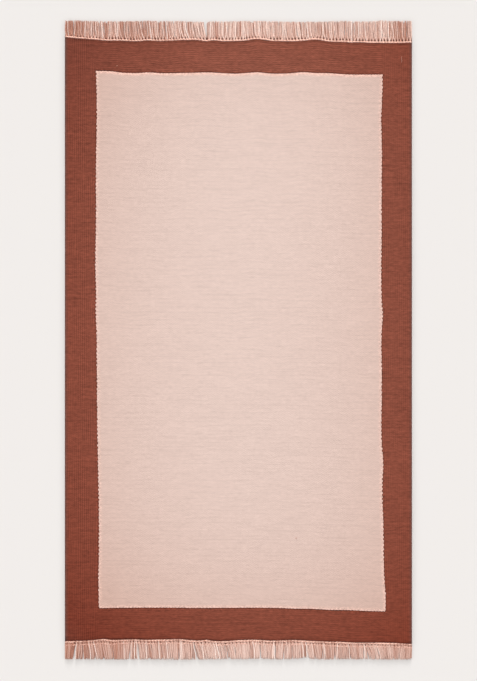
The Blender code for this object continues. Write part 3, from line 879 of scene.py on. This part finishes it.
def add_fringe(name, towards, bounds, yarns, tuft, chances, tables, node, seed):
    """One end's fringe as one mesh.

    Across, a yarn opens out from its place at the cord to its place in the bundle, and strays to its tip
    with a small wave of its own. In height it comes down from the cord onto the floor or the yarns below.
    """
    partings, lean, tone, cut, loose = tables
    stray_chance, bundle_chance, yarn_chance, *crimped = chances
    random = np.random.default_rng(seed)
    middle, half = (bounds[1:] + bounds[:-1]) / 2, (bounds[1:] - bounds[:-1]) / 2
    stray = spread(middle, partings, lean, tuft, seed)
    radius, seat, wide_seat, height, depth, dark = np.array(yarns).T[:, None]
    shape = (LOCKS, len(yarns))
    on_top = height > UPPER
    begin = middle[:, None] + half[:, None] * (seat + random.normal(0, SEAT_CHANCE, shape))
    opened = middle[:, None] + half[:, None] * (wide_seat + random.normal(0, OPENED_CHANCE, shape))
    strayed = stray[:, None] * np.where(on_top, 1.0, LOWER_STRAY)
    own_stray = random.normal(0, 1, shape) * np.where(on_top, stray_chance, LOWER_CHANCE)
    strayed = strayed + half[:, None] * own_stray
    radius = radius * random.uniform(*SIZES, shape)
    rest = height + on_top * random.normal(0, HEIGHT_CHANCE, shape)
    dye = depth + random.normal(0, bundle_chance, (LOCKS, 1)) + random.normal(0, yarn_chance, shape)
    ragged = random.uniform(0, 1, shape) ** 2 * np.where(on_top, *RAGGED)
    # The loose yarns are pale, and cross the others at a slant
    root, tip, size = np.array(loose).T

    def also(values, more):
        """The bundles' values in one row, with those of the loose yarns after them."""
        return np.append(np.broadcast_to(values, shape).ravel(), 0 * root + more)[:, None]

    begin, opened, strayed = also(begin, root), also(opened, root), also(strayed, tip - root)
    radius, rest, ragged = also(radius, size), also(rest, LOOSE_HEIGHT), also(ragged, 0.0)
    dye, dark, bleach = also(dye, 0.0), also(dark, 0.0), also(0.0, LOOSE_BLEACH)

    t = np.array(YARN_STEPS)
    phase = random.uniform(0, 2 * np.pi, begin.shape)
    wave = phase + 2 * np.pi * random.uniform(*WAVE_TURNS, begin.shape) * t
    open_share = ease((t - OPENING[0]) / OPENING[1])
    x = begin + (opened - begin) * open_share + strayed * t * (1.5 - 0.5 * t)
    x = x + YARN_WAVE * np.sin(wave) * open_share
    edge = WIDTH / 2 - radius
    x = np.clip(x, -edge, edge)
    inner = clear_of_cloth(towards, begin) - HIDDEN
    outer = LENGTH / 2 + OUTREACH - np.interp(x[:, -1:], *np.array(cut).T) - ragged
    y = inner + (outer - inner) * t
    leave = np.where(rest > UPPER, *LEAVES_AT)
    z = np.maximum(leave + (rest - leave) * ease(t / SETTLED), radius)
    taper = 1 - TIP_TAPER * np.clip((t - FRAYED) / (1 - FRAYED), 0, 1)
    paths = np.stack([x, towards * y, z], -1)
    starts = random.uniform(0, 0.05, begin.shape)
    points, faces, corner_map = tubes(paths, radius * taper, YARN_SIDES, starts)

    looks = yarn_looks(t, dye + smooth(tone, begin), dark, bleach, crimped)
    looks = {label: np.repeat(values, YARN_SIDES) for label, values in looks.items()}
    fringe = add_piece(name, points, faces, warp, corner_map, **looks)
    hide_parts(node)
    return fringe


# Pink cotton warp yarn of two plies, matt, with every end a little lighter or deeper than the next. Its
# twist shows as slanting marks, which are drawn a little coarser than they are.
warp = plied_cotton("plied pink cotton, warp ends", "#FAE1D5", "#B57D69", 2, 0.0080, 0.40)
# The longest tuft, how far tufts lean by chance, and the share by which they draw in
far_tuft = (0.026, 0.0010, 0.04)
near_tuft = (0.034, 0.0014, 0.24)
# By chance: how far a yarn's tip strays in half bundles, how unlike bundles are in dye, and yarns in one,
# then how strongly yarns are crimped at the cord and further out
far_chances = (0.50, 0.05, 0.22, 1.5, 0.8)
near_chances = (0.22, 0.08, 0.09, 1.5, 0.1)
far_tables = (FAR_PARTINGS, FAR_LEAN, FAR_TONE, FAR_CUT, FAR_LOOSE)
near_tables = (NEAR_PARTINGS, NEAR_LEAN, NEAR_TONE, NEAR_CUT, NEAR_LOOSE)
far_fringe = add_fringe(
    "far_fringe_yarns",
    1,
    far_bounds,
    FAR_YARNS,
    far_tuft,
    far_chances,
    far_tables,
    "far_fringe",
    11,
)
near_fringe = add_fringe(
    "near_fringe_yarns",
    -1,
    near_bounds,
    NEAR_YARNS,
    near_tuft,
    near_chances,
    near_tables,
    "near_fringe",
    12,
)

# The loose bits of yarn
# A hand-woven rug keeps a few: a pale end of thread on the right border, a thick slub and a grey fleck in
# the weft, and a curl at each end where a twined strand stands out. They lie on the cloth and the cords.
BIT_STEPS = 13
BIT_SIDES = 6
BIT_TAPER = 0.7
BIT_REST = 0.8  # how high its middle lies, as a share of its radius
CORD_TOP = 0.0042


def add_bit(name, corners, radius, height, material, dye, node):
    """A bit of yarn on a cubic curve through a few given places, just above height.

    Its radius falls by the third power of the distance from its middle.
    """
    corners = np.array(corners)
    share = np.linspace(0, 1, len(corners))
    t = np.linspace(0, 1, BIT_STEPS)
    x = smooth(np.stack([share, corners[:, 0]], 1), t)
    y = smooth(np.stack([share, corners[:, 1]], 1), t)
    size = radius * (1 - BIT_TAPER * np.abs(2 * t - 1) ** 3)
    z = height + size * BIT_REST
    points, faces, corner_map = tubes(np.stack([x, y, z], -1)[None], size[None], BIT_SIDES)
    bit = add_piece(name, points, faces, material, corner_map, dye=np.full(len(points), dye))
    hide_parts(node)
    return bit


pale_end = [(0.3752, 0.6415), (0.3764, 0.6460), (0.3757, 0.6510), (0.3760, 0.6565)]
pale_slub = [(-0.2822, 0.6337), (-0.2798, 0.6344), (-0.2774, 0.6340)]
grey_fleck = [(0.1318, -0.4541), (0.1330, -0.4537), (0.1341, -0.4539)]
far_curl = [(0.0425, 0.7003), (0.0438, 0.7035), (0.0462, 0.7046), (0.0478, 0.7018)]
near_curl = [(0.3808, -0.7010), (0.3822, -0.7042), (0.3850, -0.7050), (0.3868, -0.7016)]
bits = [
    add_bit("pale_end", pale_end, 0.00055, THICKNESS, twining, 0.75, "cloth"),
    add_bit("pale_slub", pale_slub, 0.00085, THICKNESS - 0.0004, warp, 1.0, "cloth"),
    add_bit("grey_fleck", grey_fleck, 0.0007, THICKNESS, warp, 1.0, "cloth"),
    add_bit("far_curl", far_curl, 0.0007, CORD_TOP, twining, 0.0, "far_fringe"),
    add_bit("near_curl", near_curl, 0.0007, CORD_TOP, twining, 0.1, "near_fringe"),
]

# The floor, the light and the camera
# A pale matt studio floor. A large soft light hangs overhead and others stand low all round, with a
# little more from the far end, and the camera looks straight down.
paper = bpy.data.materials.new("matt pale studio floor")
paper.use_nodes = True
floor_shader = paper.node_tree.nodes["Principled BSDF"]
floor_shader.inputs["Base Color"].default_value = linear("#E5E1DE")
floor_shader.inputs["Roughness"].default_value = 1.0
floor_shader.inputs["Specular IOR Level"].default_value = 0.0
FLOOR_REACH = 12.0
FLOOR_DROP = 0.0002
floor_mesh = bpy.data.meshes.new("studio_floor")
floor_corners = np.array([(-1, -1), (1, -1), (1, 1), (-1, 1)]) * FLOOR_REACH
floor_points = np.concatenate([floor_corners, np.full((4, 1), -FLOOR_DROP)], 1)
floor_mesh.from_pydata(floor_points.tolist(), [], [(0, 1, 2, 3)])
floor_mesh.materials.append(paper)
floor = bpy.data.objects.new("studio_floor", floor_mesh)
bpy.context.scene.collection.objects.link(floor)

# Share of the light from the far end, and the sine of the height with how bright the surroundings are
LOW_SHARE = 0.12
LOW_ANGLE = math.radians(10)
SURROUNDINGS = [
    (0.00, 0.30), (0.16, 0.30), (0.21, 3.00), (0.38, 3.00), (0.46, 0.30), (0.66, 0.30),
    (0.78, 1.10),
]
BRIGHTEST = 3.00
BRIGHTNESS = 1.135
world = bpy.data.worlds.new("soft studio light")
world.use_nodes = True
tree = world.node_tree
direction = add_node(tree, "ShaderNodeTexCoord", {}).outputs["Generated"]
upward = add_node(tree, "ShaderNodeSeparateXYZ", {}, {0: direction}).outputs[2]
ramp = add_node(tree, "ShaderNodeValToRGB", {}, {0: upward})
stops = ramp.color_ramp.elements
stops.remove(stops[1])  # a new ramp has two, and the loop adds the rest
for number, (place, bright) in enumerate(SURROUNDINGS):
    stop = stops.new(place) if number else stops[0]
    stop.position = place
    stop.color = (*[bright / BRIGHTEST] * 3, 1.0)
heights, levels = np.array(SURROUNDINGS + [(1.0, SURROUNDINGS[-1][1])]).T
# Light on the floor from all these surroundings: twice the mean of their brightness times the sine
fine = np.linspace(0, 1, 1001)
evenly = 2 * np.mean(np.interp(fine, heights, levels) * fine)
background = tree.nodes["Background"]
tree.links.new(ramp.outputs[0], background.inputs["Color"])
background.inputs["Strength"].default_value = (1 - LOW_SHARE) / evenly * BRIGHTEST * BRIGHTNESS
bpy.context.scene.world = world
lamp = bpy.data.lights.new("low_soft_light", "SUN")
lamp.energy = LOW_SHARE * math.pi / math.sin(LOW_ANGLE) * BRIGHTNESS
lamp.angle = math.radians(10)
low_light = bpy.data.objects.new("low_soft_light", lamp)
low_light.rotation_euler = (-(math.pi / 2 - LOW_ANGLE), 0.0, 0.0)
bpy.context.scene.collection.objects.link(low_light)

LENS = 85.0
SENSOR = 36.0
FRAME_HEIGHT = 1.5687  # of the picture, at the top of the rug
camera = bpy.data.objects.new("camera", bpy.data.cameras.new("camera"))
camera.data.lens = LENS
camera.data.sensor_width = SENSOR
camera.data.clip_end = 100.0
camera.location = (0.0002, 0.0014, THICKNESS + FRAME_HEIGHT * LENS / SENSOR)
bpy.context.scene.collection.objects.link(camera)
bpy.context.scene.camera = camera
bpy.context.scene.view_settings.view_transform = "Standard"
